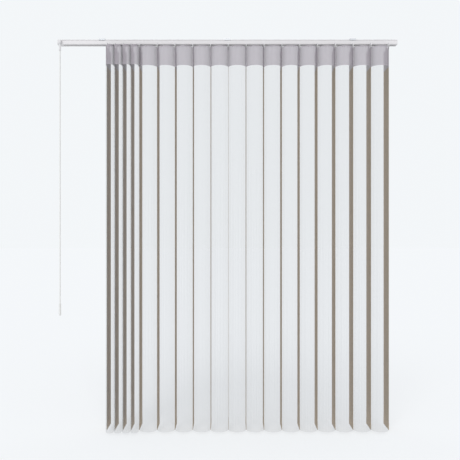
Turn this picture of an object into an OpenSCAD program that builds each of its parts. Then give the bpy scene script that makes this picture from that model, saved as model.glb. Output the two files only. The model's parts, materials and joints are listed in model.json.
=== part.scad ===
// Vertical blind: opaque vanes that turn behind a sheer facing, hung from a headrail.
// Sizes are in millimetres. The origin is midway along the rail, on the ceiling face of the brackets.
// X runs along the rail, the sheer faces -Y, Z is up.

/* [Blind] */
// Number of vanes
vane_count = 19; // [3:1:30]
// Carrier spacing where the blind is drawn out
pitch_drawn = 90; // [70:1:130]
// Carrier spacing where the carriers are closed up
pitch_gathered = 41; // [40:1:60]
// Gaps that stand closed up behind the lead carrier
gathered_gaps = 4; // [0:1:18]
// Length of the cloth from its top edge to its hem
cloth_drop = 1934; // [800:1:2600]
// Height of the stiff header at the top of the cloth
header_height = 100; // [60:1:160]

/* [Headrail] */
// Depth of the rail from front to back
rail_depth = 40; // [39:0.5:60]
// Height of the rail
rail_height = 24; // [23:0.5:40]
// Wall of the rail
rail_wall = 1.5; // [1:0.1:2.2]
// Rounding of the rail's long edges
rail_round = 1.4; // [0.4:0.1:1.6]
// Slot in the floor of the rail
slot_width = 12; // [11.5:0.5:15]
// From the last carrier to the end of the rail
end_margin = 53; // [50:1:90]
// From the lead carrier, fully drawn out, to the control end of the rail
lead_margin = 63; // [58:1:120]
// Space between the ceiling and the rail
ceiling_gap = 5; // [4:0.5:12]
// Space between the rail and the top edge of the cloth
cloth_gap = 24; // [22:1:60]

/* [Vane] */
// Width of a vane
vane_width = 100; // [60:1:130]
// Thickness of a vane
vane_thickness = 1; // [0.6:0.1:2]
// Height of the weighted hem of a vane
hem_height = 35; // [15:1:60]
// Width of the hanger plate in the top of a vane
hanger_width = 40; // [20:1:56]

/* [Sheer] */
// Cloth in one fold, measured along its curve
loop_length = 120; // [95:1:170]
// Thickness of the sheer
sheer_thickness = 0.6; // [0.4:0.1:1]
// Thickness of the header strip in each fold
strip_thickness = 0.6; // [0.4:0.1:1.2]

/* [Carrier] */
// Width of the carrier block across the rail
block_width = 26; // [25:0.5:26.5]
// Height of the carrier block
block_height = 13; // [12.5:0.5:13.5]
// Radius of the carrier wheels
wheel_radius = 4.4; // [3:0.1:5.5]
// Radius of the turning stem
stem_radius = 2.5; // [1.8:0.1:2.6]
// Radius of the wheel on the stem that the tilt rod drives
pinion_radius = 4.2; // [3.8:0.1:4.4]

/* [Control] */
// Radius of the tilt rod
rod_radius = 3; // [2:0.1:3.2]
// Length of the control head
head_length = 26; // [24:1:30]
// Thickness of the plain end cap
cap_thickness = 6; // [4:0.5:12]
// Radius of the wand
wand_radius = 3.5; // [2.5:0.1:5]
// From the foot of the rail to the lower end of the wand
wand_reach = 1383; // [400:1:1800]

/* [Brackets] */
// From each end of the rail to the screw of its bracket
bracket_inset = 228; // [60:1:400]
// Length of a bracket along the rail
bracket_length = 30; // [20:1:60]
// Sheet thickness of a bracket
bracket_sheet = 1.6; // [1:0.1:2]
// Radius of a bracket screw hole
screw_hole_radius = 2.4; // [1.5:0.1:3.5]

/* [Hidden] */
// Gaps of a loose fit, a slip fit and a journal, and the overlap of joined and cut shapes
loose = 0.5;
slip = 0.3;
journal_gap = 0.06;
eps = 0.01;
over = 1;
$fn = 48;

// Rail
rail_length = (vane_count - 1) * pitch_drawn + end_margin + lead_margin;
rail_left = -rail_length / 2;
rail_right = rail_length / 2;
rail_top = -ceiling_gap;
rail_bottom = rail_top - rail_height;
floor_top = rail_bottom + rail_wall;
roof = rail_top - rail_wall;
cloth_top = rail_bottom - cloth_gap;
cloth_bottom = cloth_top - cloth_drop;
bracket_x = rail_length / 2 - bracket_inset;

// Groove near the top of each rail side, for the bracket lips
groove_depth = 1.6;
groove_drop = 2.2;
groove_height = 2.7;
groove_top = rail_top - groove_drop;
groove_bottom = groove_top - groove_height;
upper_half = rail_depth / 2 - groove_depth - rail_wall;
lower_half = rail_depth / 2 - rail_wall;
rib_height = 2;
rib_width = 1.2;

// Carrier block, neck and wheels
block_bottom = floor_top + rib_height + loose;
block_top = block_bottom + block_height;
block_gap = 0.8;
block_length = pitch_gathered - block_gap;
neck_drop = 2.5;
neck_gap = 0.8;
neck_length = 18;
neck_bottom = rail_bottom - neck_drop;
neck_half = slot_width / 2 - neck_gap;
wheel_width = 3.3;
wheel_inset = 3.6;
wheel_x = block_length / 2 - wheel_radius - wheel_inset;
axle_length = 0.8;

// Spacer strips lie in three lanes, so that strips of near carriers pass one another
lane_pitch = 7.6;
spacer_width = 4;
spacer_sheet = 0.6;
spacer_lift = 0.8;
spacer_z = block_top + spacer_lift;
guide_gap = 0.4;
guide_wall = 1;
guide_length = 3;
guide_height = 2;
head_overhang = 1.1;

// Tilt rod, beside the driven wheel of every stem
mesh_gap = 0.7;
rod_y = pinion_radius + rod_radius + mesh_gap;
rod_z = block_bottom + block_height / 2;
rod_in_head = 12;
rod_in_cap = 3;
rod_left = rail_left + head_length - rod_in_head;
rod_right = rail_right - cap_thickness + rod_in_cap;
rod_journal = 18;
rod_flute = 0.7;
pinion_height = 7;
plug_length = 8;

// Sheer: the valley between two folds is held at each carrier's arm
vane_gap = 0.6;
valley_width = 3.2;
valley_back = -vane_width / 2 - vane_gap;
valley_front = valley_back - sheer_thickness;
strip_gap = 0.1;
fold_steps = 12;
arm_height = 3;
arm_half = 2.2;
arm_bottom = neck_bottom - arm_height;
post_depth = 1.2;
prong_half = 0.9;
prong_depth = 1.6;
prong_drop = 12;
prong_front = valley_front - prong_depth - slip;

// Vane: thickening on each face, hanger and hook
header_extra = 0.2;
hem_extra = 0.5;
plate_extra = 0.7;
plate_height = 14;
tab_half_width = 6;
tab_height = 9;
tab_thickness = 2;
tab_gap = 0.2;
fork_radius = 3.6;
fork_height = 8;
fork_lift = 3;
fork_bottom = cloth_top + fork_lift;
fork_top = fork_bottom + fork_height;
fork_bridge = 1.5;
nib_radius = 1.1;
nib_lift = 6;
nib_z = cloth_top + nib_lift;

// Wand, its shaft with a collar in the nose of the head, and its coupler
wand_inset = 17;
nose_reach = 12;
wand_x = rail_left + wand_inset;
wand_y = -rail_depth / 2 - nose_reach;
nose_radius = 6.5;
nose_height = 16;
nose_lift = 2;
nose_bottom = rail_bottom + nose_lift;
shaft_radius = 2.5;
shaft_drop = 18;
shaft_bottom = rail_bottom - shaft_drop;
collar_lift = 7.4;
collar_height = 5;
collar_radius = 3.7;
collar_bottom = nose_bottom + collar_lift;
coupler_radius = 5.2;
coupler_drop = 7;
coupler_length = 30;
coupler_top = rail_bottom - coupler_drop;
coupler_bottom = coupler_top - coupler_length;
wand_seat = 14;
wand_top = coupler_bottom + wand_seat;
wand_bottom = rail_bottom - wand_reach;
grip_wall = 1.8;
grip_radius = wand_radius + grip_wall;
grip_length = 60;

function two(i) = i < 10 ? str("0", i) : str(i);
function gap_at(i) = i <= gathered_gaps ? pitch_gathered : pitch_drawn;
function carrier_x(i) = i >= vane_count ? rail_right - end_margin : carrier_x(i + 1) - gap_at(i);
function lane_y(i) = (i % 3 - 1) * lane_pitch;

// Half angle of the arc whose chord and length stand in the given ratio
function arc_angle(ratio, low = 0.1, high = 90, n = 30) =
    let (mid = (low + high) / 2)
    n == 0 ? mid :
    sin(mid) / (mid * PI / 180) > ratio ? arc_angle(ratio, mid, high, n - 1) :
    arc_angle(ratio, low, mid, n - 1);

// One fold as points with outward directions: an arc, or a half circle on two straight sides
function fold(chord) =
    loop_length < PI * chord / 2
    ? let (a = arc_angle(chord / loop_length), r = chord / 2 / sin(a))
      [for (k = [0:fold_steps]) let (t = -a + 2 * a * k / fold_steps)
          [[r * sin(t), r * (cos(a) - cos(t))], [sin(t), -cos(t)]]]
    : let (r = chord / 2, side = (loop_length - PI * r) / 2)
      concat([[[-r, 0], [-1, 0]]],
          [for (k = [0:fold_steps]) let (t = -90 + 180 * k / fold_steps)
              [[r * sin(t), -side - r * cos(t)], [sin(t), -cos(t)]]],
          [[[r, 0], [1, 0]]]);
function fold_mid(i) = (carrier_x(i) + carrier_x(i + 1)) / 2;
function fold_line(i, shift) =
    [for (p = fold(gap_at(i) - valley_width)) [fold_mid(i), valley_front] + p[0] + shift * p[1]];
function valley_line(i) =
    let (half = valley_width / 2 + sheer_thickness / 2)
    [[carrier_x(i) - half, valley_back], [carrier_x(i) + half, valley_back]];
function joined(lists) = [for (l = lists) for (p = l) p];
function backwards(l) = [for (k = [len(l) - 1:-1:0]) l[k]];

// A box given by its low and high corners
module box(low, high) {
    translate(low)
        cube(high - low);
}

// A box about the plane of a vane at x, given by its half thickness, half width and two levels
module leaf(x, half_thickness, half_width, bottom, top) {
    box([x - half_thickness, -half_width, bottom], [x + half_thickness, half_width, top]);
}

// A cylinder that starts at the given point and runs along X
module bar(start, radius, length) {
    translate(start)
        rotate([0, 90, 0])
            cylinder(r = radius, h = length);
}

// A 2-D section in Y and Z, drawn out along X
module along_x(from, to) {
    translate([from, 0, 0])
        rotate([90, 0, 90])
            linear_extrude(height = to - from)
                children();
}

// A rectangle in a section, mirrored about the middle of the rail
module both_sides(low, high) {
    for (side = [-1, 1])
        translate([side > 0 ? low[0] : -high[0], low[1]])
            square([high[0] - low[0], high[1] - low[1]]);
}

// Outer section of the rail, which its two ends share
module rail_outline() {
    translate([0, (rail_top + rail_bottom) / 2]) {
        square([rail_depth, rail_height - 2 * rail_round], center = true);
        square([rail_depth - 2 * rail_round, rail_height], center = true);
        for (side = [-1, 1], end = [-1, 1])
            translate([side * (rail_depth / 2 - rail_round), end * (rail_height / 2 - rail_round)])
                circle(r = rail_round);
    }
}

// Aluminium channel with a floor slot, guide ribs and a bracket groove on each side
module rail() {
    rib_out = slot_width / 2 + rib_width;
    color([0.87, 0.86, 0.87])
        along_x(rail_left + head_length, rail_right - cap_thickness) {
            difference() {
                rail_outline();
                translate([-lower_half, floor_top])
                    square([2 * lower_half, groove_bottom - rail_wall - floor_top]);
                translate([-upper_half, floor_top])
                    square([2 * upper_half, roof - floor_top]);
                both_sides([rail_depth / 2 - groove_depth, groove_bottom],
                    [rail_depth / 2 + over, groove_top]);
                translate([-slot_width / 2, rail_bottom - over])
                    square([slot_width, rail_wall + 2 * over]);
            }
            both_sides([slot_width / 2, floor_top - eps], [rib_out, floor_top + rib_height]);
        }
}

// Plug that fills the rail between its ribs and its grooves
module plug(from, to) {
    box([from, -lower_half + slip, block_bottom],
        [to, lower_half - slip, groove_bottom - rail_wall - slip]);
}

// Left end: closed gear housing with a nose that carries the wand
module control_head() {
    plate_right = rail_left + head_length;
    color([0.9, 0.9, 0.9])
        difference() {
            union() {
                along_x(rail_left, plate_right)
                    rail_outline();
                plug(plate_right - eps, plate_right + plug_length);
                box([wand_x - nose_radius, wand_y, nose_bottom],
                    [wand_x + nose_radius, -rail_depth / 2 + eps, nose_bottom + nose_height]);
                translate([wand_x, wand_y, nose_bottom])
                    cylinder(r = nose_radius, h = nose_height);
            }
            bar([rod_left - slip, rod_y, rod_z], rod_radius + journal_gap, head_length + plug_length);
            translate([wand_x, wand_y, nose_bottom - over])
                cylinder(r = shaft_radius + journal_gap, h = collar_lift + over);
            translate([wand_x, wand_y, collar_bottom - loose])
                cylinder(r = collar_radius + loose, h = collar_height + 2 * loose);
        }
}

// Right end: plain cap with a bearing for the rod
module end_cap() {
    plate_left = rail_right - cap_thickness;
    plug_left = plate_left - plug_length;
    color([0.9, 0.9, 0.9])
        difference() {
            union() {
                along_x(plate_left, rail_right)
                    rail_outline();
                plug(plug_left, plate_left + eps);
            }
            bar([plug_left - over, rod_y, rod_z], rod_radius + journal_gap,
                rod_right - plug_left + over + loose);
        }
}

// Spring-steel clip that hooks into both rail grooves, with a screw hole to the ceiling
module bracket(x) {
    half = rail_depth / 2 + slip;
    side_y = half + bracket_sheet / 2;
    lip_top = groove_top - slip;
    lip_bottom = lip_top - bracket_sheet + slip;
    color([0.75, 0.76, 0.78])
        difference() {
            union() {
                box([x - bracket_length / 2, -half - bracket_sheet, -bracket_sheet],
                    [x + bracket_length / 2, half + bracket_sheet, 0]);
                for (side = [-1, 1]) {
                    translate([x, side * side_y, lip_bottom / 2])
                        cube([bracket_length, bracket_sheet, -lip_bottom], center = true);
                    translate([x, side * (side_y - groove_depth / 2), (lip_top + lip_bottom) / 2])
                        cube([bracket_length, groove_depth + bracket_sheet, lip_top - lip_bottom],
                            center = true);
                }
            }
            translate([x, 0, -bracket_sheet - over])
                cylinder(r = screw_hole_radius, h = bracket_sheet + 2 * over);
        }
}

// Grooved rod that turns every stem, with round journals in the two ends
module tilt_rod() {
    color([0.8, 0.81, 0.82])
        difference() {
            bar([rod_left, rod_y, rod_z], rod_radius, rod_right - rod_left);
            for (a = [0:90:270])
                bar([rod_left + rod_journal, rod_y + rod_radius * cos(a), rod_z + rod_radius * sin(a)],
                    rod_flute, rod_right - rod_left - 2 * rod_journal);
        }
}

// Four wheels on short axles, at the sides of a carrier block
module carrier_wheels(x) {
    for (side = [-1, 1], end = [-1, 1])
        translate([x + end * wheel_x, side * (block_width / 2 - eps), floor_top + loose + wheel_radius])
            rotate([-90 * side, 0, 0]) {
                cylinder(r = wheel_radius / 3, h = axle_length);
                translate([0, 0, axle_length - eps])
                    cylinder(r = wheel_radius, h = wheel_width);
            }
}

// Strip with a wide head that draws the next carrier along when the blind is drawn out
module spacer_strip(i) {
    x = carrier_x(i);
    half = spacer_width / 2;
    head_x = x + pitch_drawn + guide_length / 2 + guide_gap;
    strip_end = x + pitch_drawn + 2 * guide_length;
    box([x - guide_length, lane_y(i) - half, block_top - eps],
        [x + guide_length, lane_y(i) + half, spacer_z + eps]);
    box([x - guide_length, lane_y(i) - half, spacer_z],
        [strip_end, lane_y(i) + half, spacer_z + spacer_sheet]);
    box([head_x, lane_y(i) - half - head_overhang, spacer_z],
        [strip_end, lane_y(i) + half + head_overhang, spacer_z + spacer_sheet]);
}

// Two low walls on a carrier block that the strip of the carrier before it runs between
module spacer_guide(i) {
    wall_y = spacer_width / 2 + guide_gap + guide_wall / 2;
    for (side = [-1, 1])
        translate([carrier_x(i), lane_y(i - 1) + side * wall_y, block_top + guide_height / 2 - eps])
            cube([guide_length, guide_wall, guide_height], center = true);
}

// Flat arm under the carrier with a post and a prong at the valley of the sheer
module sheer_arm(x) {
    box([x - neck_length / 4, -neck_half, arm_bottom], [x + neck_length / 4, neck_half, neck_bottom + eps]);
    box([x - arm_half, prong_front, arm_bottom], [x + arm_half, 0, neck_bottom]);
    box([x - arm_half, prong_front, cloth_top + slip],
        [x + arm_half, valley_front + post_depth, arm_bottom + eps]);
    box([x - prong_half, prong_front, cloth_top - prong_drop],
        [x + prong_half, valley_front - slip, cloth_top + slip + eps]);
}

// Carrier that runs in the rail: block, wheels, neck, spacer strip and the arm that holds the sheer
module carrier(i) {
    x = carrier_x(i);
    color([0.86, 0.86, 0.84])
        difference() {
            union() {
                box([x - block_length / 2, -block_width / 2, block_bottom],
                    [x + block_length / 2, block_width / 2, block_top]);
                box([x - neck_length / 2, -neck_half, neck_bottom],
                    [x + neck_length / 2, neck_half, block_bottom + eps]);
                carrier_wheels(x);
                if (i < vane_count)
                    spacer_strip(i);
                if (i > 1)
                    spacer_guide(i);
                sheer_arm(x);
            }
            bar([x - block_length, rod_y, rod_z], rod_radius + loose, 2 * block_length);
            translate([x, 0, arm_bottom - over])
                cylinder(r = stem_radius + loose, h = rod_z - arm_bottom);
            translate([x, 0, rod_z - pinion_height / 2 - loose])
                cylinder(r = pinion_radius + mesh_gap, h = pinion_height + 2 * loose);
        }
}

// Stem with its driven wheel and the fork that the vane hooks into
module stem(x) {
    slot_half = tab_thickness / 2 + tab_gap;
    difference() {
        union() {
            translate([x, 0, rod_z - pinion_height / 2])
                cylinder(r = pinion_radius, h = pinion_height);
            translate([x, 0, fork_top - eps])
                cylinder(r = stem_radius, h = rod_z - fork_top);
            translate([x, 0, fork_bottom])
                cylinder(r = fork_radius, h = fork_top - fork_bottom);
        }
        leaf(x, slot_half, fork_radius + over, fork_bottom - over, fork_top - fork_bridge);
    }
    bar([x - slot_half - slip, 0, nib_z], nib_radius, 2 * (slot_half + slip));
}

// Opaque vane with its stiff header, weighted hem, hanger plate and hooked tab, and the stem that turns it
module vane(i) {
    x = carrier_x(i);
    half = vane_thickness / 2;
    color([0.5, 0.45, 0.41]) {
        difference() {
            union() {
                leaf(x, half, vane_width / 2, cloth_bottom, cloth_top);
                leaf(x, half + header_extra, vane_width / 2, cloth_top - header_height, cloth_top);
                leaf(x, half + hem_extra, vane_width / 2, cloth_bottom, cloth_bottom + hem_height);
                leaf(x, half + plate_extra, hanger_width / 2, cloth_top - plate_height, cloth_top);
                leaf(x, tab_thickness / 2, tab_half_width, cloth_top - eps, cloth_top + tab_height);
            }
            bar([x - tab_thickness, 0, nib_z], nib_radius + slip, 2 * tab_thickness);
        }
        stem(x);
    }
}

// Continuous sheer cloth: one round fold between each two carriers, pinned flat at every arm
module sheer() {
    half = sheer_thickness / 2;
    front = joined([for (i = [1:vane_count - 1]) fold_line(i, half)]);
    back = joined([for (i = [1:vane_count])
        concat(valley_line(i), i < vane_count ? fold_line(i, -half) : [])]);
    start = [carrier_x(1) - valley_width / 2 - half, valley_front];
    end = [carrier_x(vane_count) + valley_width / 2 + half, valley_front];
    color([0.86, 0.87, 0.89, 0.5])
        translate([0, 0, cloth_bottom])
            linear_extrude(height = cloth_drop)
                polygon(concat([start], front, [end], backwards(back)));
}

// Curved stiffening strip in the top of each fold
module header_strips() {
    near = -sheer_thickness / 2 - strip_gap;
    far = near - strip_thickness;
    color([0.7, 0.68, 0.7, 0.8])
        translate([0, 0, cloth_top - header_height])
            linear_extrude(height = header_height)
                for (i = [1:vane_count - 1])
                    polygon(concat(fold_line(i, near), backwards(fold_line(i, far))));
}

// Short shaft that leaves the nose of the control head
module wand_shaft() {
    color([0.8, 0.81, 0.82]) {
        translate([wand_x, wand_y, shaft_bottom])
            cylinder(r = shaft_radius, h = collar_bottom + eps - shaft_bottom);
        translate([wand_x, wand_y, collar_bottom])
            cylinder(r = collar_radius, h = collar_height);
    }
}

// Sleeve between the shaft and the wand
module wand_coupler() {
    color([0.9, 0.9, 0.9])
        difference() {
            translate([wand_x, wand_y, coupler_bottom])
                cylinder(r = coupler_radius, h = coupler_length);
            translate([wand_x, wand_y, shaft_bottom - slip])
                cylinder(r = shaft_radius + journal_gap, h = coupler_top - shaft_bottom + over);
            translate([wand_x, wand_y, coupler_bottom - over])
                cylinder(r = wand_radius + journal_gap, h = wand_seat + over + slip);
        }
}

// Round wand
module wand() {
    color([0.88, 0.88, 0.87])
        translate([wand_x, wand_y, wand_bottom + grip_radius])
            cylinder(r = wand_radius, h = wand_top - wand_bottom - grip_radius);
}

// Grip sleeve with a domed foot
module wand_grip() {
    color([0.9, 0.9, 0.9])
        difference() {
            translate([wand_x, wand_y, wand_bottom + grip_radius]) {
                cylinder(r = grip_radius, h = grip_length - grip_radius);
                sphere(r = grip_radius);
            }
            translate([wand_x, wand_y, wand_bottom + grip_radius - slip])
                cylinder(r = wand_radius + journal_gap, h = grip_length);
        }
}

rail();
control_head();
end_cap();
bracket(-bracket_x);  // bracket_left
bracket(0);  // bracket_middle
bracket(bracket_x);  // bracket_right
tilt_rod();
wand_shaft();
wand_coupler();
wand();
wand_grip();
sheer();
header_strips();
for (i = [1:vane_count]) {
    carrier(i);
    vane(i);
}
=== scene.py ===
# %% [markdown]
# # A vertical blind with a sheer facing
# Nineteen opaque vanes stand edge-on behind one long voile. Between each two vanes the voile swells
# forward in a round fold. A slim rail holds everything, and a wand turns the vanes.
#
# The construction model gives every solid piece. This lesson dresses it: the cloth is drawn anew as thin
# sheets, because a woven sheet needs coordinates that run along its own threads. The hardware keeps its
# shapes and gets finishes.

# %% Load the frame
import json
import math

import bmesh
import bpy
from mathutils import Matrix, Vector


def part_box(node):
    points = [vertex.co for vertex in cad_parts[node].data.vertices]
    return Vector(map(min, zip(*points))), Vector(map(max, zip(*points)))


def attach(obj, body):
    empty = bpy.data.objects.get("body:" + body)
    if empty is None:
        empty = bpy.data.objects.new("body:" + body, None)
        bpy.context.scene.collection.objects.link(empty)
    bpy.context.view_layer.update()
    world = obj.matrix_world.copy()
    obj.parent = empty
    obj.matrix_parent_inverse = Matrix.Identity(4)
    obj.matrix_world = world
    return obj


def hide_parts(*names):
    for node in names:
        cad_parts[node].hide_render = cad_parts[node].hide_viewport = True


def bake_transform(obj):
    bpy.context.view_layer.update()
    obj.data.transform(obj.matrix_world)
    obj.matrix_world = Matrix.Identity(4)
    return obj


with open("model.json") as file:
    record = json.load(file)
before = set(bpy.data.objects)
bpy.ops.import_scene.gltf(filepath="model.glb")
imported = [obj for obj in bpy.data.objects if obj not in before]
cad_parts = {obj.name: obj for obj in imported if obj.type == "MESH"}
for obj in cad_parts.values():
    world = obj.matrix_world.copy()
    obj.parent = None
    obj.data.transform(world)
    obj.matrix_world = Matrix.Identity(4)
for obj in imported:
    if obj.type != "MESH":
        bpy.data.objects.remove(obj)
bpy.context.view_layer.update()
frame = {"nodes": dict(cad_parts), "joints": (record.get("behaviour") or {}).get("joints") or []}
print("pieces in the frame:", len(frame["nodes"]))

# %% [markdown]
# ## Where everything hangs
# Each vane turns about its own stem, so the hinges give the places of the carriers, and the hinge of the
# tilt rod gives the height of the small wheels that it drives. The boxes of the sheer, the header strips
# and a vane give the edges of the cloth. We could type all this again, but then a change of the rail would
# leave the cloth behind. A box holds single-precision numbers, so the two cut sizes are rounded to a
# tenth of a millimetre.

# %% Places read from the frame
joints = {j["name"]: j for j in frame["joints"]}
stem_x = [joints[name]["pos_m"][0] for name in sorted(joints) if name.endswith("_tilt")]
vane_count = len(stem_x)
rod_z = joints["tilt_rod_spin"]["pos_m"][2]
sheer_low, sheer_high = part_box("sheer")
cloth_foot, cloth_head = sheer_low[2], sheer_high[2]
drop = cloth_head - cloth_foot
strips_low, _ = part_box("header_strips")
header = round(cloth_head - strips_low[2], 4)
tape_foot = cloth_head - header
vane_low, vane_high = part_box("vane_01")
vane_width = round(vane_high[1] - vane_low[1], 4)
print("vanes:", vane_count, "- drop in metres:", round(drop, 3), "- vane width:", vane_width)

# %% [markdown]
# ## Sizes that a box doesn't tell
# A box can't say how much cloth lies in a fold, or where a hem was turned up, so the few sizes of the
# sewing stand here, in metres. The valley is the narrow flat stretch of voile that each carrier's arm pins,
# and the last size is half the thickness of the solid sheer, which puts the thin voile in its middle there.
# We could work all four out from the points of the solids, but that is long code for four numbers.

# %% Sizes of the sewing
HEM = 0.035
FOLD_CLOTH = 0.120
VALLEY = 0.0032
SHEER_HALF = 0.0003
valley_y = sheer_high[1] - SHEER_HALF
print("cloth in one fold with its valley:", FOLD_CLOTH + VALLEY)

# %% [markdown]
# ## Small helpers for shader nodes
# Every finish below is a tree of nodes. Trees can be clicked together by hand, but then nobody can read
# them here. These short functions start a material, join two nodes and add a sum. A value can be a plain
# number or the output of another node.

# %% Links and sums
def new_material(name):
    material = bpy.data.materials.new(name)
    material.use_nodes = True
    return material, material.node_tree, material.node_tree.nodes["Principled BSDF"].inputs


def link(tree, out, into):
    tree.links.new(out, into)


def feed(tree, socket, value):
    if isinstance(value, bpy.types.NodeSocket):
        link(tree, value, socket)
    else:
        socket.default_value = value


def add_math(tree, operation, a, b=None):
    node = tree.nodes.new("ShaderNodeMath")
    node.operation = operation
    feed(tree, node.inputs[0], a)
    if b is not None:
        feed(tree, node.inputs[1], b)
    return node.outputs[0]


print("node helpers: material, link, feed, math")

# %% [markdown]
# ## Helpers for patterns
# The other helpers shape a pattern. A range stretches a value to new limits, and a blend goes from one
# colour to another. A noise can be stretched along a thread or a drawn rod, and a bump turns heights into
# relief. All relief here is a fraction of a millimetre, so one depth serves every material.

# %% Ranges, blends, noise and relief
BUMP_DEPTH = 0.0002


def add_range(tree, value, low, high, start=0.0, end=1.0):
    node = tree.nodes.new("ShaderNodeMapRange")
    feed(tree, node.inputs["Value"], value)
    for label, number in (("From Min", start), ("From Max", end), ("To Min", low), ("To Max", high)):
        node.inputs[label].default_value = number
    return node.outputs["Result"]


def add_blend(tree, factor, first, second):
    node = tree.nodes.new("ShaderNodeMix")
    node.data_type = "RGBA"
    for label, value in (("Factor", factor), ("A", first), ("B", second)):
        feed(tree, next(s for s in node.inputs if s.name == label and s.enabled), value)
    return next(s for s in node.outputs if s.enabled)


def add_noise(tree, vector, stretch, scale=1.0, detail=2.0):
    place = tree.nodes.new("ShaderNodeVectorMath")
    place.operation = "MULTIPLY"
    link(tree, vector, place.inputs[0])
    feed(tree, place.inputs[1], stretch)
    noise = tree.nodes.new("ShaderNodeTexNoise")
    feed(tree, noise.inputs["Scale"], scale)
    noise.inputs["Detail"].default_value = detail
    link(tree, place.outputs[0], noise.inputs["Vector"])
    return noise.outputs["Fac"]


def add_bump(tree, height, strength):
    relief = tree.nodes.new("ShaderNodeBump")
    relief.name = "relief"
    relief.inputs["Strength"].default_value = strength
    relief.inputs["Distance"].default_value = BUMP_DEPTH
    link(tree, height, relief.inputs["Height"])
    link(tree, relief.outputs["Normal"], tree.nodes["Principled BSDF"].inputs["Normal"])


print("pattern helpers: range, blend, noise, bump")

# %% [markdown]
# ## Groups
# An effect that several materials share is a group with named sockets. It is built once, and each material
# places it with its own values. Copying the nodes into each material would look the same, but a later
# change would have to be made many times.

# %% Group helpers
def open_group(name, takes, gives):
    tree = bpy.data.node_groups.new(name, "ShaderNodeTree")
    for label, kind, value in takes:
        tree.interface.new_socket(label, in_out="INPUT", socket_type=kind).default_value = value
    for label in gives:
        tree.interface.new_socket(label, in_out="OUTPUT", socket_type="NodeSocketFloat")
    return tree, tree.nodes.new("NodeGroupInput").outputs, tree.nodes.new("NodeGroupOutput").inputs


def place_group(tree, group, values):
    node = tree.nodes.new("ShaderNodeGroup")
    node.node_tree = group
    for label, value in values.items():
        node.inputs[label].default_value = value
    return node.outputs


print("group helpers: open, place")

# %% [markdown]
# ## Crossed threads
# All the cloth here is plain weave: threads across, threads down, and small holes between them. A picture
# of a weave would blur from near by, so the group draws it from the sheet's coordinates in metres. It gives
# the height of the threads, how much of the cloth they cover, the fine unevenness of the yarn, and the slow
# upright streaks that voile shows against the light.

# %% Weave group
USUAL_COUNT = 1800.0
WARP_STRETCH, WEFT_STRETCH = (900.0, 9.0, 1.0), (11.0, 1100.0, 1.0)
STREAK_STRETCH = (160.0, 0.5, 1.0)


def sheet_place(tree):
    place = tree.nodes.new("ShaderNodeUVMap")
    place.uv_map = "cloth"
    parts = tree.nodes.new("ShaderNodeSeparateXYZ")
    link(tree, place.outputs[0], parts.inputs[0])
    return place.outputs[0], parts.outputs["X"], parts.outputs["Y"]


def crossed_threads():
    tree, given, result = open_group(
        "crossed threads",
        (("Across", "NodeSocketFloat", USUAL_COUNT), ("Down", "NodeSocketFloat", USUAL_COUNT)),
        ("Height", "Cover", "Yarn", "Streak"))
    place, across, down = sheet_place(tree)
    waves = []
    for position, count in ((across, given["Across"]), (down, given["Down"])):
        angle = add_math(tree, "MULTIPLY", add_math(tree, "MULTIPLY", position, count), math.pi)
        waves.append(add_math(tree, "ABSOLUTE", add_math(tree, "SINE", angle)))
    holes = add_math(tree, "MULTIPLY", *[add_math(tree, "SUBTRACT", 1.0, wave) for wave in waves])
    yarns = add_math(tree, "ADD", *[add_noise(tree, place, s) for s in (WARP_STRETCH, WEFT_STRETCH)])
    link(tree, add_math(tree, "MAXIMUM", *waves), result["Height"])
    link(tree, add_math(tree, "SUBTRACT", 1.0, holes), result["Cover"])
    link(tree, add_math(tree, "MULTIPLY", yarns, 0.5), result["Yarn"])
    link(tree, add_noise(tree, place, STREAK_STRETCH), result["Streak"])
    return tree


WEAVE = crossed_threads()
print("weave group:", len(WEAVE.nodes), "nodes")

# %% [markdown]
# ## Rows of stitches
# The hem of a vane and the edges of the header are sewn. A row of stitches is a dashed line at one height
# of the sheet: the group measures the distance to that height, rounds it to a thread, and cuts it into
# dashes. Modelled threads would be thousands of tiny tubes that nobody sees from a metre away.

# %% Stitch group
STITCH_LENGTH, THREAD_WIDTH = 0.0035, 0.0009
STITCH_SHOWN = 0.72
THREAD_RIM = 0.05


def stitch_row():
    tree, given, result = open_group(
        "stitch row",
        (("Level", "NodeSocketFloat", 0.0), ("Stitch", "NodeSocketFloat", STITCH_LENGTH),
         ("Thread", "NodeSocketFloat", THREAD_WIDTH)),
        ("Mask", "Height"))
    _, across, down = sheet_place(tree)
    off = add_math(tree, "ABSOLUTE", add_math(tree, "SUBTRACT", down, given["Level"]))
    share = add_math(tree, "DIVIDE", off, add_math(tree, "MULTIPLY", given["Thread"], 0.5))
    bulge = add_math(tree, "MAXIMUM", add_math(tree, "SUBTRACT", 1.0, share), 0.0)
    along = add_math(tree, "FRACT", add_math(tree, "DIVIDE", across, given["Stitch"]))
    height = add_math(tree, "MULTIPLY", bulge, add_math(tree, "LESS_THAN", along, STITCH_SHOWN))
    link(tree, height, result["Height"])
    link(tree, add_math(tree, "GREATER_THAN", height, THREAD_RIM), result["Mask"])
    return tree


STITCHES = stitch_row()
print("stitch group:", len(STITCHES.nodes), "nodes")

# %% [markdown]
# ## A recipe for cloth
# Voile is mostly holes, so its alpha follows the cover of the weave. Dense cloth has no alpha: only shade
# and height follow the threads. One function makes both kinds, with the seams that each one has. A clear
# shader with transmission would also let light through, but it bends the view, and loose cloth doesn't.

# %% Cloth recipe
COVER_START = 0.3
STREAK_LOW, STREAK_HIGH = 0.75, 1.25
SEAM_TINT, SEAM_HEIGHT = 1.25, 2.0
CLOTH_GLOSS = 0.2


def tinted(colour, factor):
    return (*[min(1.0, c * factor) for c in colour], 1.0)


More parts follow.
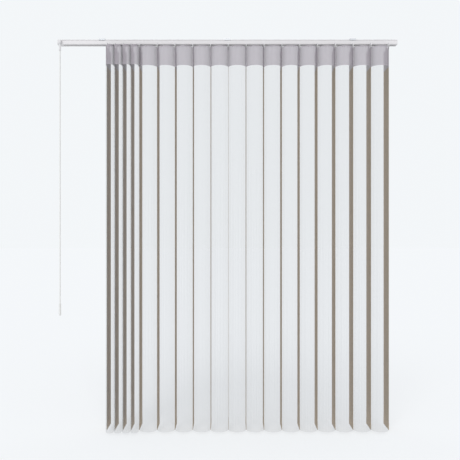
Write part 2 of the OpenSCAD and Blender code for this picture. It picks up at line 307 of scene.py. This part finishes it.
def cloth(name, colour, uneven, threads, rough, sheen, bump, alpha=None, seams=()):
    material, tree, shader = new_material(name)
    weave = place_group(tree, WEAVE, {"Across": threads[0], "Down": threads[1]})
    shade = add_blend(tree, weave["Yarn"], tinted(colour, 1 - uneven), tinted(colour, 1 + uneven))
    height, cover = weave["Height"], None
    if alpha:
        thread_cover = add_range(tree, weave["Cover"], *alpha, start=COVER_START)
        streaks = add_range(tree, weave["Streak"], STREAK_LOW, STREAK_HIGH)
        cover = add_math(tree, "MULTIPLY", thread_cover, streaks)
    for level in seams:
        row = place_group(tree, STITCHES, {"Level": level})
        shade = add_blend(tree, row["Mask"], shade, tinted(colour, SEAM_TINT))
        height = add_math(tree, "ADD", height, add_math(tree, "MULTIPLY", row["Height"], SEAM_HEIGHT))
        cover = add_math(tree, "MAXIMUM", cover, row["Mask"]) if cover else None
    add_bump(tree, height, bump)
    link(tree, shade, shader["Base Color"])
    if cover:
        link(tree, cover, shader["Alpha"])
    shader["Roughness"].default_value = rough
    shader["Sheen Weight"].default_value = sheen
    shader["Specular IOR Level"].default_value = CLOTH_GLOSS
    return material


print("cloth recipe: a stitch adds", SEAM_HEIGHT, "thread heights")

# %% [markdown]
# ## The four cloths
# The voile is the thinnest. The header is a stiff tape, see-through enough to show the light behind. The
# vanes are dense and brown, with a pale tape round their tops. The alpha of a cloth runs from the value in
# its holes to the value on its threads. One grey cloth in four strengths would be quicker, but the brown of
# the vanes has to shine through a cool voile to give the right shade.

# %% Cloths
SEAM_IN = 0.004
tape_seams = (tape_foot + SEAM_IN, cloth_head - SEAM_IN)
hem_seam = (cloth_foot + HEM - SEAM_IN,)
VOILE = cloth("voile", (0.318, 0.33, 0.35), uneven=0.10, threads=(1900, 1700), rough=0.9, sheen=0.05,
              bump=0.3, alpha=(0.05, 0.25))
HEADER_TAPE = cloth("header tape", (0.448, 0.397, 0.438), uneven=0.12, threads=(1300, 900), rough=0.85,
                    sheen=0.05, bump=0.5, alpha=(0.50, 0.78), seams=tape_seams)
VANE_CLOTH = cloth("vane cloth", (0.44, 0.345, 0.235), uneven=0.16, threads=(1500, 1300), rough=0.92,
                   sheen=0.1, bump=0.6, seams=hem_seam)
VANE_TAPE = cloth("vane header tape", (0.50, 0.48, 0.49), uneven=0.10, threads=(1300, 900), rough=0.85,
                  sheen=0.05, bump=0.5, seams=tape_seams)
print("cloths:", [m.name for m in (VOILE, HEADER_TAPE, VANE_CLOTH, VANE_TAPE)])

# %% [markdown]
# ## Grain and dust for the hardware
# Lacquer, moulded plastic and drawn metal differ mostly in their grain: fine and even on plastic, long
# lines on what was drawn through a die. One group gives a grain that can be stretched, and a slow cloud
# that keeps large faces from being one flat colour. A second group lays a little dust on whatever faces up.
# Painted masks could do that too, but the direction of a face already says where dust settles.

# %% Grain and dust groups
EVEN = (1.0, 1.0, 1.0)
GRAIN_SCALE = 1200.0
CLOUD_SHARE = 0.02
DUST_SLOPE = {"start": 0.6, "end": 0.98}
DUST_SPREAD = {"start": 0.35, "end": 0.7}
DUST_SCALE, DUST_AMOUNT = 140.0, 0.3


def fine_grain():
    tree, given, result = open_group(
        "fine grain",
        (("Scale", "NodeSocketFloat", GRAIN_SCALE), ("Stretch", "NodeSocketVector", EVEN)),
        ("Grain", "Cloud"))
    where = tree.nodes.new("ShaderNodeTexCoord").outputs["Object"]
    slow = add_math(tree, "MULTIPLY", given["Scale"], CLOUD_SHARE)
    link(tree, add_noise(tree, where, given["Stretch"], given["Scale"]), result["Grain"])
    link(tree, add_noise(tree, where, given["Stretch"], slow, detail=4.0), result["Cloud"])
    return tree


def settled_dust():
    tree, given, result = open_group(
        "settled dust", (("Amount", "NodeSocketFloat", DUST_AMOUNT),), ("Mask",))
    facing = tree.nodes.new("ShaderNodeSeparateXYZ")
    link(tree, tree.nodes.new("ShaderNodeNewGeometry").outputs["Normal"], facing.inputs[0])
    upward = add_range(tree, facing.outputs["Z"], 0.0, 1.0, **DUST_SLOPE)
    where = tree.nodes.new("ShaderNodeTexCoord").outputs["Object"]
    patches = add_noise(tree, where, EVEN, scale=DUST_SCALE, detail=5.0)
    mask = add_math(tree, "MULTIPLY", upward, add_range(tree, patches, 0.0, 1.0, **DUST_SPREAD))
    link(tree, add_math(tree, "MULTIPLY", mask, given["Amount"]), result["Mask"])
    return tree


GRAIN, DUST = fine_grain(), settled_dust()
print("groups:", [g.name for g in bpy.data.node_groups])

# %% [markdown]
# ## A recipe for hard finishes
# Every hard surface gets the same treatment: the cloud shades its colour, dust settles on top, and the
# grain varies the gloss and gives a little relief. A piece can also get painted shade: all of it below one
# level has a second, darker colour that stands in for the shade under the rail and behind the header. A
# second material would do the same, but it needs a cut in the mesh, and the mesh of the frame's pieces
# stays as it is.

# %% Hard recipe
CLOUD_TINT = 0.04
GLOSS_SPAN = 0.07
COAT_ROUGH = 0.25
DUST_COLOUR = (0.50, 0.48, 0.45, 1.0)
# painted shade: the carriers turn soft grey below a level just above the head of the cloth, standing in for
# shade there
PAINTED_SHADE_EDGE, PAINTED_SHADE_ABOVE = 0.001, 0.008
painted_shade_top = cloth_head + PAINTED_SHADE_ABOVE


def object_height(tree):
    parts = tree.nodes.new("ShaderNodeSeparateXYZ")
    link(tree, tree.nodes.new("ShaderNodeTexCoord").outputs["Object"], parts.inputs[0])
    return parts.outputs["Z"]


def hard_finish(name, colour, rough, metal=0.0, scale=GRAIN_SCALE, stretch=EVEN, bump=0.08,
                dust=DUST_AMOUNT, coat=0.0, painted_shade=None):
    material, tree, shader = new_material(name)
    grain = place_group(tree, GRAIN, {"Scale": scale, "Stretch": stretch})
    shade = add_blend(tree, grain["Cloud"], tinted(colour, 1 - CLOUD_TINT), tinted(colour, 1 + CLOUD_TINT))
    # painted shade: below the level the colour blends to a grey that stands in for shade
    if painted_shade:
        above_painted_shade = add_range(tree, object_height(tree), 0.0, 1.0, start=painted_shade_top - PAINTED_SHADE_EDGE, end=painted_shade_top)
        shade = add_blend(tree, above_painted_shade, (*painted_shade, 1.0), shade)
    settled = place_group(tree, DUST, {"Amount": dust})
    link(tree, add_blend(tree, settled["Mask"], shade, DUST_COLOUR), shader["Base Color"])
    gloss = add_range(tree, grain["Grain"], rough - GLOSS_SPAN, rough + GLOSS_SPAN)
    link(tree, gloss, shader["Roughness"])
    add_bump(tree, grain["Grain"], bump)
    shader["Metallic"].default_value = metal
    shader["Coat Weight"].default_value = coat
    shader["Coat Roughness"].default_value = COAT_ROUGH
    return material


print("level of the dip:", round(painted_shade_top, 4))

# %% [markdown]
# ## Hardware finishes
# The rail is lacquered aluminium with a faint lilac tone, and the ends match it. The clips are brushed
# spring steel, the rod is drawn aluminium, the carriers and the wand are pale plastic. The carriers get
# painted shade: what hangs inside the cloth and just above it is soft grey, standing in for the shade
# there, so that it doesn't shine through the header. We could use one white paint for all, but the small
# differences in gloss are what tell the pieces apart.

# %% Hardware materials
ALONG_X, ALONG_Y, ALONG_Z = (0.02, 1.0, 1.0), (1.0, 0.03, 1.0), (1.0, 1.0, 0.02)
MOULDED, BRUSHED = 1700.0, 2500.0
RAIL = hard_finish("rail lacquer", (0.66, 0.645, 0.655), 0.38, stretch=ALONG_X, coat=0.1)
ENDS = hard_finish("end plastic", (0.64, 0.63, 0.64), 0.45, scale=MOULDED)
# the carriers take the painted shade in soft grey
CARRIER = hard_finish("carrier plastic", (0.60, 0.59, 0.60), 0.5, scale=MOULDED, painted_shade=(0.36, 0.35, 0.36))
CLIP = hard_finish("clip steel", (0.55, 0.56, 0.58), 0.35, metal=1.0, scale=BRUSHED, stretch=ALONG_Y,
                   bump=0.15)
ROD = hard_finish("rod aluminium", (0.70, 0.71, 0.72), 0.35, metal=1.0, stretch=ALONG_X)
WAND = hard_finish("wand plastic", (0.70, 0.70, 0.69), 0.28, scale=MOULDED, stretch=ALONG_Z, dust=0.1,
                   coat=0.2)
GRIP = hard_finish("grip plastic", (0.68, 0.68, 0.67), 0.40, scale=MOULDED, dust=0.1)
print("hardware finishes:", [m.name for m in (RAIL, ENDS, CARRIER, CLIP, ROD, WAND, GRIP)])

# %% [markdown]
# ## Rings on the grip
# Fingers hold the grip of the wand, so it has fine rings. Modelled rings would need many thin faces. These
# are only about a tenth of a millimetre deep, so relief does: the rings are added to the grain that the
# finish already has.

# %% Grip rings
RING_PITCH = 0.0035
RING_HEIGHT, RING_STRENGTH = 0.6, 0.4
grip_tree = GRIP.node_tree
grip_bump = grip_tree.nodes["relief"].inputs
grain_height = grip_bump["Height"].links[0].from_socket
ring_angle = add_math(grip_tree, "MULTIPLY", object_height(grip_tree), 2 * math.pi / RING_PITCH)
ring_height = add_math(grip_tree, "MULTIPLY", add_math(grip_tree, "SINE", ring_angle), RING_HEIGHT)
link(grip_tree, add_math(grip_tree, "ADD", grain_height, ring_height), grip_bump["Height"])
grip_bump["Strength"].default_value = RING_STRENGTH
print("grip rings every", RING_PITCH, "metres")

# %% [markdown]
# ## Dressing the frame's own pieces
# Rail, ends, clips, rod, carriers and wand already have the right shape. Drawing them again would only give
# a second shape to keep in step, so just their material changes. The name of a piece, or its first word,
# says which finish it takes.

# %% Hardware dressed
FINISH_BY_NAME = {
    "rail": RAIL, "control_head": ENDS, "end_cap": ENDS, "bracket": CLIP, "tilt_rod": ROD,
    "wand_shaft": ROD, "wand_coupler": ENDS, "wand": WAND, "wand_grip": GRIP, "carrier": CARRIER}
dressed = []
for name, piece in frame["nodes"].items():
    chosen = FINISH_BY_NAME.get(name) or FINISH_BY_NAME.get(name.split("_")[0])
    if chosen:
        piece.data.materials.clear()
        piece.data.materials.append(chosen)
        dressed.append(name)
print("pieces dressed:", len(dressed))

# %% [markdown]
# ## The curve of a fold
# Seen from above, a fold is the curve that a strip of cloth takes between two pins: an arc. Its half angle
# follows from the chord and the length, and is found by halving an interval. Where the carriers stand
# close, the cloth is longer than a half circle; the fold is then a half circle on two straight sides. A
# cloth simulation would find much the same curve, but slower and with creases that nobody asked for.

# %% Fold curve
FOLD_STEPS, SIDE_STEPS = 40, 8
SMALLEST_TURN, HALVINGS = 0.01, 50


def arc_angle(ratio):
    low, high = SMALLEST_TURN, math.pi / 2
    for _ in range(HALVINGS):
        middle = (low + high) / 2
        if math.sin(middle) / middle > ratio:
            low = middle
        else:
            high = middle
    return low


def fold_curve(chord):
    """Points of a fold with their outward directions: x, y, direction x, direction y."""
    half_turn, radius, bend = math.pi / 2, chord / 2, FOLD_STEPS - 2 * SIDE_STEPS
    side = (FOLD_CLOTH - math.pi * radius) / 2
    if side < 0:
        half_turn, side, bend = arc_angle(chord / FOLD_CLOTH), 0.0, FOLD_STEPS
        radius = chord / 2 / math.sin(half_turn)
    curve = []
    for k in range(bend + 1):
        turn = half_turn * (2 * k / bend - 1)
        out_x, out_y = math.sin(turn), -math.cos(turn)
        curve.append((radius * out_x, radius * (math.cos(half_turn) + out_y) - side, out_x, out_y))
    if side:
        flank = [(-radius, -side * k / SIDE_STEPS, -1.0, 0.0) for k in range(SIDE_STEPS)]
        curve = flank + curve + [(-x, y, 1.0, 0.0) for x, y, _, _ in reversed(flank)]
    return curve


def fold_depth(curve):
    return -min(point[1] for point in curve)


widest = max(b - a for a, b in zip(stem_x, stem_x[1:]))
print("depth of a drawn-out fold:", round(fold_depth(fold_curve(widest - VALLEY)), 4))

# %% [markdown]
# ## How a fold hangs
# A fold is a grid: the curve across, and steps down the drop. Real cloth isn't perfectly even, so each fold
# swells, leans and ripples a little more towards its foot, and gets a touch shallower there (slack). Random
# dents would do too, but a formula is the same on every run. Swell, lean and ripple each start at another
# phase from fold to fold (step), and go on changing down the drop (turn).

# %% Rows of a fold
SWELL, SWELL_STEP, SWELL_TURN, SLACK = 0.025, 2.1, 2.4, 0.01
LEAN, LEAN_STEP, LEAN_TURN = 0.0012, 1.7, 3.0
RIPPLE, RIPPLE_STEP, RIPPLE_TURN, RIPPLE_ACROSS = 0.0004, 1.3, 5.0, 260


def fold_rows(i, low, high, levels, inset):
    left, right = stem_x[i], stem_x[i + 1]
    curve = fold_curve(right - left - VALLEY)
    deepest = fold_depth(curve)
    rows = []
    for k in range(levels + 1):
        z = low + (high - low) * k / levels
        below = (cloth_head - z) / drop
        swell = 1 + SWELL * below * math.sin(SWELL_STEP * i + SWELL_TURN * below) - SLACK * below
        lean = LEAN * below * math.sin(LEAN_STEP * i + LEAN_TURN * below)
        row = [(left, valley_y + inset, z)]
        for x, y, out_x, out_y in curve:
            bow = -y / deepest
            phase = RIPPLE_TURN * below + RIPPLE_ACROSS * x + RIPPLE_STEP * i
            ripple = RIPPLE * below * bow * math.sin(phase)
            row.append(((left + right) / 2 + x + lean * bow - inset * out_x,
                        valley_y + y * swell + ripple - inset * out_y, z))
        rows.append(row + [(right, valley_y + inset, z)])
    return rows


print("a fold leans by at most", LEAN, "metres at its foot")

# %% [markdown]
# ## From rows to a sheet
# The rows become a mesh of four-cornered faces. Each point also gets its place along the thread, in metres,
# for the weave. Unwrapping the sheet would give such coordinates as well, but not in metres and not always
# with the threads upright.

# %% Sheet helper
def show(mesh):
    piece = bpy.data.objects.new(mesh.name, mesh)
    bpy.context.collection.objects.link(piece)
    return piece


def sheet_from_rows(name, rows, material):
    points = [p for row in rows for p in row]
    n = len(rows[0])
    faces = [(k * n + i, k * n + i + 1, (k + 1) * n + i + 1, (k + 1) * n + i)
             for k in range(len(rows) - 1) for i in range(n - 1)]
    along = [0.0]
    for a, b in zip(rows[-1], rows[-1][1:]):
        along.append(along[-1] + math.dist(a, b))
    mesh = bpy.data.meshes.new(name)
    mesh.from_pydata(points, [], faces)
    thread_place = mesh.uv_layers.new(name="cloth")
    for loop in mesh.loops:
        thread_place.data[loop.index].uv = (along[loop.vertex_index % n], points[loop.vertex_index][2])
    mesh.shade_smooth()
    mesh.materials.append(material)
    return show(mesh)


print("sheet helper: one mesh for each list of rows")

# %% [markdown]
# ## Hanging the folds
# Each gap between two carriers gets a fold of voile, and behind its top a strip of header tape that follows
# the same curve a little further in. One long sheet would also do at rest; eighteen separate folds leave
# room to follow their own carriers when the blind is drawn.

# %% Folds hung
VOILE_LEVELS, TAPE_LEVELS = 48, 8
TAPE_INSET = 0.0006
voiles, tapes = [], []
for i in range(vane_count - 1):
    rows = fold_rows(i, cloth_foot, cloth_head, VOILE_LEVELS, 0.0)
    voiles.append(sheet_from_rows(f"voile_fold_{i + 1:02d}", rows, VOILE))
    rows = fold_rows(i, tape_foot, cloth_head - TAPE_INSET, TAPE_LEVELS, TAPE_INSET)
    tapes.append(sheet_from_rows(f"header_fold_{i + 1:02d}", rows, HEADER_TAPE))
print("folds:", len(voiles), "with", len(voiles[0].data.polygons), "faces each")

# %% [markdown]
# ## The sheets in place of the solid cloth
# When the blind is drawn, two neighbours come closer and the fold between them must narrow. A fold that
# rode on one carrier would tear away from the other. Here the frame's solid sheer and header strips are
# hidden, and each sheet gets its place baked into its points. The last carrier is fixed to the rail.


for i in range(vane_count - 1):
    for sheet, stands_for, slot, length in ((voiles[i], "sheer", "sheer_cloth", drop),
                                            (tapes[i], "header_strips", "header_cloth", header)):
        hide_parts(stands_for)
        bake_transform(sheet)
print("sheets tied:", len(voiles) + len(tapes))

# %% [markdown]
# ## Vanes
# A vane is one dense strip, with a pale tape round its top and a weight sewn into its hem. It is drawn as a
# thin closed section carried up through a few heights where its thickness steps, so that light catches the
# tape and the hem. Its long edges are rounded like folded cloth. A flat plane would be simpler, but edge-on
# it would vanish. The weave is shifted from vane to vane, so that no two look alike.

# %% Vane strips
BODY_HALF, TAPE_HALF, HEM_HALF = 0.0005, 0.0007, 0.0010
EDGE, EDGE_FLAT = 0.0006, 0.4
WEAVE_SHIFT = 0.013


def vane_strip(i):
    heights = [(cloth_foot, BODY_HALF), (cloth_foot + EDGE, HEM_HALF),
               (cloth_foot + HEM - EDGE, HEM_HALF), (cloth_foot + HEM, BODY_HALF),
               (tape_foot - EDGE, BODY_HALF), (tape_foot, TAPE_HALF),
               (cloth_head - EDGE, TAPE_HALF), (cloth_head, BODY_HALF)]
    half = vane_width / 2
    section = [(-1, EDGE - half), (-EDGE_FLAT, -half), (EDGE_FLAT, -half), (1, EDGE - half),
               (1, half - EDGE), (EDGE_FLAT, half), (-EDGE_FLAT, half), (-1, half - EDGE)]
    n = len(section)
    points = [(stem_x[i] + side * thick, y, z) for z, thick in heights for side, y in section]
    faces = [(k * n + a, k * n + (a + 1) % n, (k + 1) * n + (a + 1) % n, (k + 1) * n + a)
             for k in range(len(heights) - 1) for a in range(n)]
    faces += [tuple(reversed(range(n))), tuple(range(len(points) - n, len(points)))]
    mesh = bpy.data.meshes.new(f"vane_strip_{i + 1:02d}")
    mesh.from_pydata(points, [], faces)
    thread_place = mesh.uv_layers.new(name="cloth")
    for face in mesh.polygons:
        face.material_index = int(face.center.z > tape_foot)
        for at in face.loop_indices:
            _, y, z = points[mesh.loops[at].vertex_index]
            thread_place.data[at].uv = (y + WEAVE_SHIFT * i, z)
    mesh.materials.append(VANE_CLOTH)
    mesh.materials.append(VANE_TAPE)
    return show(mesh)


strips = [vane_strip(i) for i in range(vane_count)]
print("vane strips:", len(strips))

# %% [markdown]
# ## Outlines of the hanger
# A stem with a small toothed wheel comes down out of each carrier and ends in a fork of two jaws. The tab
# of the vane's hanger plate snaps between them. Ready-made cylinders and cubes would need cutting for the
# teeth and the slot, so each shape starts as a flat outline instead, listed counter-clockwise.

# %% Hanger outlines
WHEEL_RADIUS, TOOTH_DEPTH, TEETH = 0.0042, 0.0006, 18


def disc(radius, sides=28):
    turns = [2 * math.pi * k / sides for k in range(sides)]
    return [(radius * math.cos(t), radius * math.sin(t)) for t in turns]


def toothed(radius, depth, teeth):
    corners = [(radius - depth * (k % 4 > 1), math.pi / 2 * k / teeth) for k in range(4 * teeth)]
    return [(r * math.cos(t), r * math.sin(t)) for r, t in corners]


def jaw(radius, gap, side, steps=12):
    reach = math.acos(gap / radius)
    turns = [reach * (2 * k / steps - 1) for k in range(steps + 1)]
    return [(side * radius * math.cos(t), side * radius * math.sin(t)) for t in turns]


def tongue(half_width, low, high, corner, steps=5):
    turns = [math.pi / 2 * k / steps for k in range(steps + 1)]
    right = [(half_width - corner * (1 - math.sin(t)), low + corner * (1 - math.cos(t))) for t in turns]
    return [(-y, z) for y, z in reversed(right)] + right + [(half_width, high), (-half_width, high)]


print("corners of a tooth wheel:", len(toothed(WHEEL_RADIUS, TOOTH_DEPTH, TEETH)))

# %% [markdown]
# ## Sizes of the hanger
# The fork hangs just above the cloth, and its jaws reach down round the tab. The plate below the tab is
# sewn into the head of the vane. The solid's box would give only the outermost sizes, so they all stand
# here. Heights are counted from the head of the cloth, so that the hanger follows it.

# %% Hanger sizes
STEM_RADIUS, FORK_RADIUS = 0.0025, 0.0036
SLOT_HALF, WHEEL_HALF = 0.0011, 0.003
TAB_REACH, TAB_HALF, TAB_CORNER = 0.006, 0.0010, 0.001
PLATE_REACH, PLATE_HALF, PLATE_CORNER = 0.020, 0.0012, 0.003
fork_foot, fork_root, fork_top = cloth_head + 0.003, cloth_head + 0.0095, cloth_head + 0.011
tab_foot, tab_top = cloth_head - 0.003, cloth_head + 0.009
plate_foot, plate_top = cloth_head - 0.014, cloth_head + 0.0004
print("length of a stem:", round(rod_z - fork_top, 4))

# %% [markdown]
# ## Hangers
# Each outline is pushed out to a prism and its sharp edges are bevelled a little, as moulded parts are.
# Plain boxes would show knife-sharp edges in any close view. The tooth wheel stays sharp, as it sits inside
# the carrier.

# %% Hangers built
MOULD_EDGE = 0.0002
SHARP = math.radians(40)


def push_out(shape, outline, low, high, place):
    ends = [[shape.verts.new(place(u, v, w)) for u, v in outline] for w in (low, high)]
    n = len(outline)
    for k in range(n):
        shape.faces.new((ends[0][k], ends[0][(k + 1) % n], ends[1][(k + 1) % n], ends[1][k]))
    shape.faces.new(ends[0][::-1])
    shape.faces.new(ends[1])


def hanger(i):
    def upright(u, v, w):
        return stem_x[i] + u, v, w

    def sideways(u, v, w):
        return stem_x[i] + w, u, v

    shape = bmesh.new()
    push_out(shape, disc(STEM_RADIUS), fork_top - MOULD_EDGE, rod_z, upright)
    push_out(shape, disc(FORK_RADIUS), fork_root, fork_top, upright)
    for side in (-1, 1):
        push_out(shape, jaw(FORK_RADIUS, SLOT_HALF, side), fork_foot, fork_root + MOULD_EDGE, upright)
    tab = tongue(TAB_REACH, tab_foot, tab_top, TAB_CORNER)
    push_out(shape, tab, -TAB_HALF, TAB_HALF, sideways)
    plate = tongue(PLATE_REACH, plate_foot, plate_top, PLATE_CORNER)
    push_out(shape, plate, -PLATE_HALF, PLATE_HALF, sideways)
    sharp = [e for e in shape.edges if e.calc_face_angle(0) > SHARP]
    bmesh.ops.bevel(shape, geom=sharp, offset=MOULD_EDGE, segments=2, profile=0.5, affect="EDGES")
    wheel = toothed(WHEEL_RADIUS, TOOTH_DEPTH, TEETH)
    push_out(shape, wheel, rod_z - WHEEL_HALF, rod_z + WHEEL_HALF, upright)
    bmesh.ops.recalc_face_normals(shape, faces=shape.faces)
    mesh = bpy.data.meshes.new(f"vane_hanger_{i + 1:02d}")
    shape.to_mesh(mesh)
    shape.free()
    mesh.shade_smooth()
    mesh.set_sharp_from_angle(angle=SHARP)
    mesh.materials.append(CARRIER)
    return show(mesh)


hangers = [hanger(i) for i in range(vane_count)]
print("hangers:", len(hangers), "with", len(hangers[0].data.polygons), "faces each")

# %% [markdown]
# ## Vanes tied to their stems
# Strip and hanger turn together about the stem, so both ride the vane's body and stand for its solid. The
# two could be one mesh, but cloth and plastic are easier to change apart.

# %% Vanes tied
for i, (strip, holder) in enumerate(zip(strips, hangers)):
    for piece, slot in ((strip, "vane_cloth"), (holder, "carrier_plastic")):
        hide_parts(f"vane_{i + 1:02d}")
        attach(piece, f"vane_{i + 1:02d}")
print("vanes tied:", len(strips))

# %% [markdown]
# ## Floor
# A pale floor lies just under the cloth. It glows a little, so that it comes out as white as the ground
# behind it and still takes the blind's shadow. A pure white floor without a glow would go grey at this
# plain level of light.

# %% Floor
FLOOR_GAP, FLOOR_HALF = 0.014, 30.0
FLOOR_COLOUR, FLOOR_GLOW = (0.30, 0.303, 0.307, 1), (0.573, 0.590, 0.606, 1)
floor_z = cloth_foot - FLOOR_GAP
corners = [(FLOOR_HALF * x, FLOOR_HALF * y, floor_z) for x, y in ((-1, -1), (1, -1), (1, 1), (-1, 1))]
floor_mesh = bpy.data.meshes.new("floor")
floor_mesh.from_pydata(corners, [], [(0, 1, 2, 3)])
pale, _, pale_shader = new_material("pale floor")
pale_shader["Base Color"].default_value = FLOOR_COLOUR
pale_shader["Emission Color"].default_value = FLOOR_GLOW
pale_shader["Emission Strength"].default_value = 1.0
pale_shader["Roughness"].default_value = 1.0
pale_shader["Specular IOR Level"].default_value = 0.0
floor_mesh.materials.append(pale)
show(floor_mesh)
print("floor at", round(floor_z, 3))

# %% [markdown]
# ## Sky
# A plain sky lights everything evenly. What the camera sees behind the blind, directly or in a shiny or
# clear surface, is a brighter white than the sky that lights. A brighter sky for all would be simpler, but
# it would wash out the pale cloth.

# %% Sky
SKY_LIGHT, SKY_SEEN = (0.60, 0.61, 0.62, 1), (0.90, 0.925, 0.945, 1)
world = bpy.data.worlds.new("white sky")
bpy.context.scene.world = world
world.use_nodes = True
sky = world.node_tree
lighting = sky.nodes["Background"]
lighting.inputs["Color"].default_value = SKY_LIGHT
seen = sky.nodes.new("ShaderNodeBackground")
seen.inputs["Color"].default_value = SKY_SEEN
rays = sky.nodes.new("ShaderNodeLightPath").outputs
in_view = add_math(sky, "MAXIMUM", rays["Is Camera Ray"], rays["Is Glossy Ray"])
in_view = add_math(sky, "MAXIMUM", in_view, rays["Is Transmission Ray"])
choose = sky.nodes.new("ShaderNodeMixShader")
link(sky, in_view, choose.inputs["Fac"])
link(sky, lighting.outputs[0], choose.inputs[1])
link(sky, seen.outputs[0], choose.inputs[2])
link(sky, choose.outputs[0], sky.nodes["World Output"].inputs["Surface"])
print("sky nodes:", len(sky.nodes))

# %% [markdown]
# ## Sun
# One broad soft sun comes from the front, a little from the left, so that the folds are round and the floor
# has a shadow. A lamp near by would light the middle more than the ends; a sun is even along the rail.

# %% Sun
SUN_ENERGY = 2.2
SUN_SPREAD, SUN_TILT, SUN_TURN = math.radians(40), math.radians(42), math.radians(-6)
sun_data = bpy.data.lights.new("soft sun", "SUN")
sun_data.energy = SUN_ENERGY
sun_data.angle = SUN_SPREAD
sun = bpy.data.objects.new("soft sun", sun_data)
sun.rotation_euler = (SUN_TILT, 0, SUN_TURN)
bpy.context.collection.objects.link(sun)
print("sun energy:", SUN_ENERGY)

# %% [markdown]
# ## Camera
# The camera stands level and straight in front, at about half the height of the blind. A tilted one would
# show more of the rail, but the uprights would lean. Seen from the side, a ray crosses voile and tape
# twice in each fold, and many folds lie behind each other, so the number of clear layers that a ray may
# pass is raised.

# %% Camera
CAMERA_PLACE = (0.013, -3.035, -0.977)
LENS, SENSOR = 46.25, 36
CLEAR_LAYERS = 64
camera_data = bpy.data.cameras.new("camera")
camera_data.lens = LENS
camera_data.sensor_width = SENSOR
camera = bpy.data.objects.new("camera", camera_data)
camera.location = CAMERA_PLACE
camera.rotation_euler = (math.radians(90), 0, 0)
bpy.context.collection.objects.link(camera)
scene = bpy.context.scene
scene.camera = camera
scene.view_settings.view_transform = "Standard"
scene.cycles.transparent_max_bounces = CLEAR_LAYERS
print("camera at", CAMERA_PLACE)
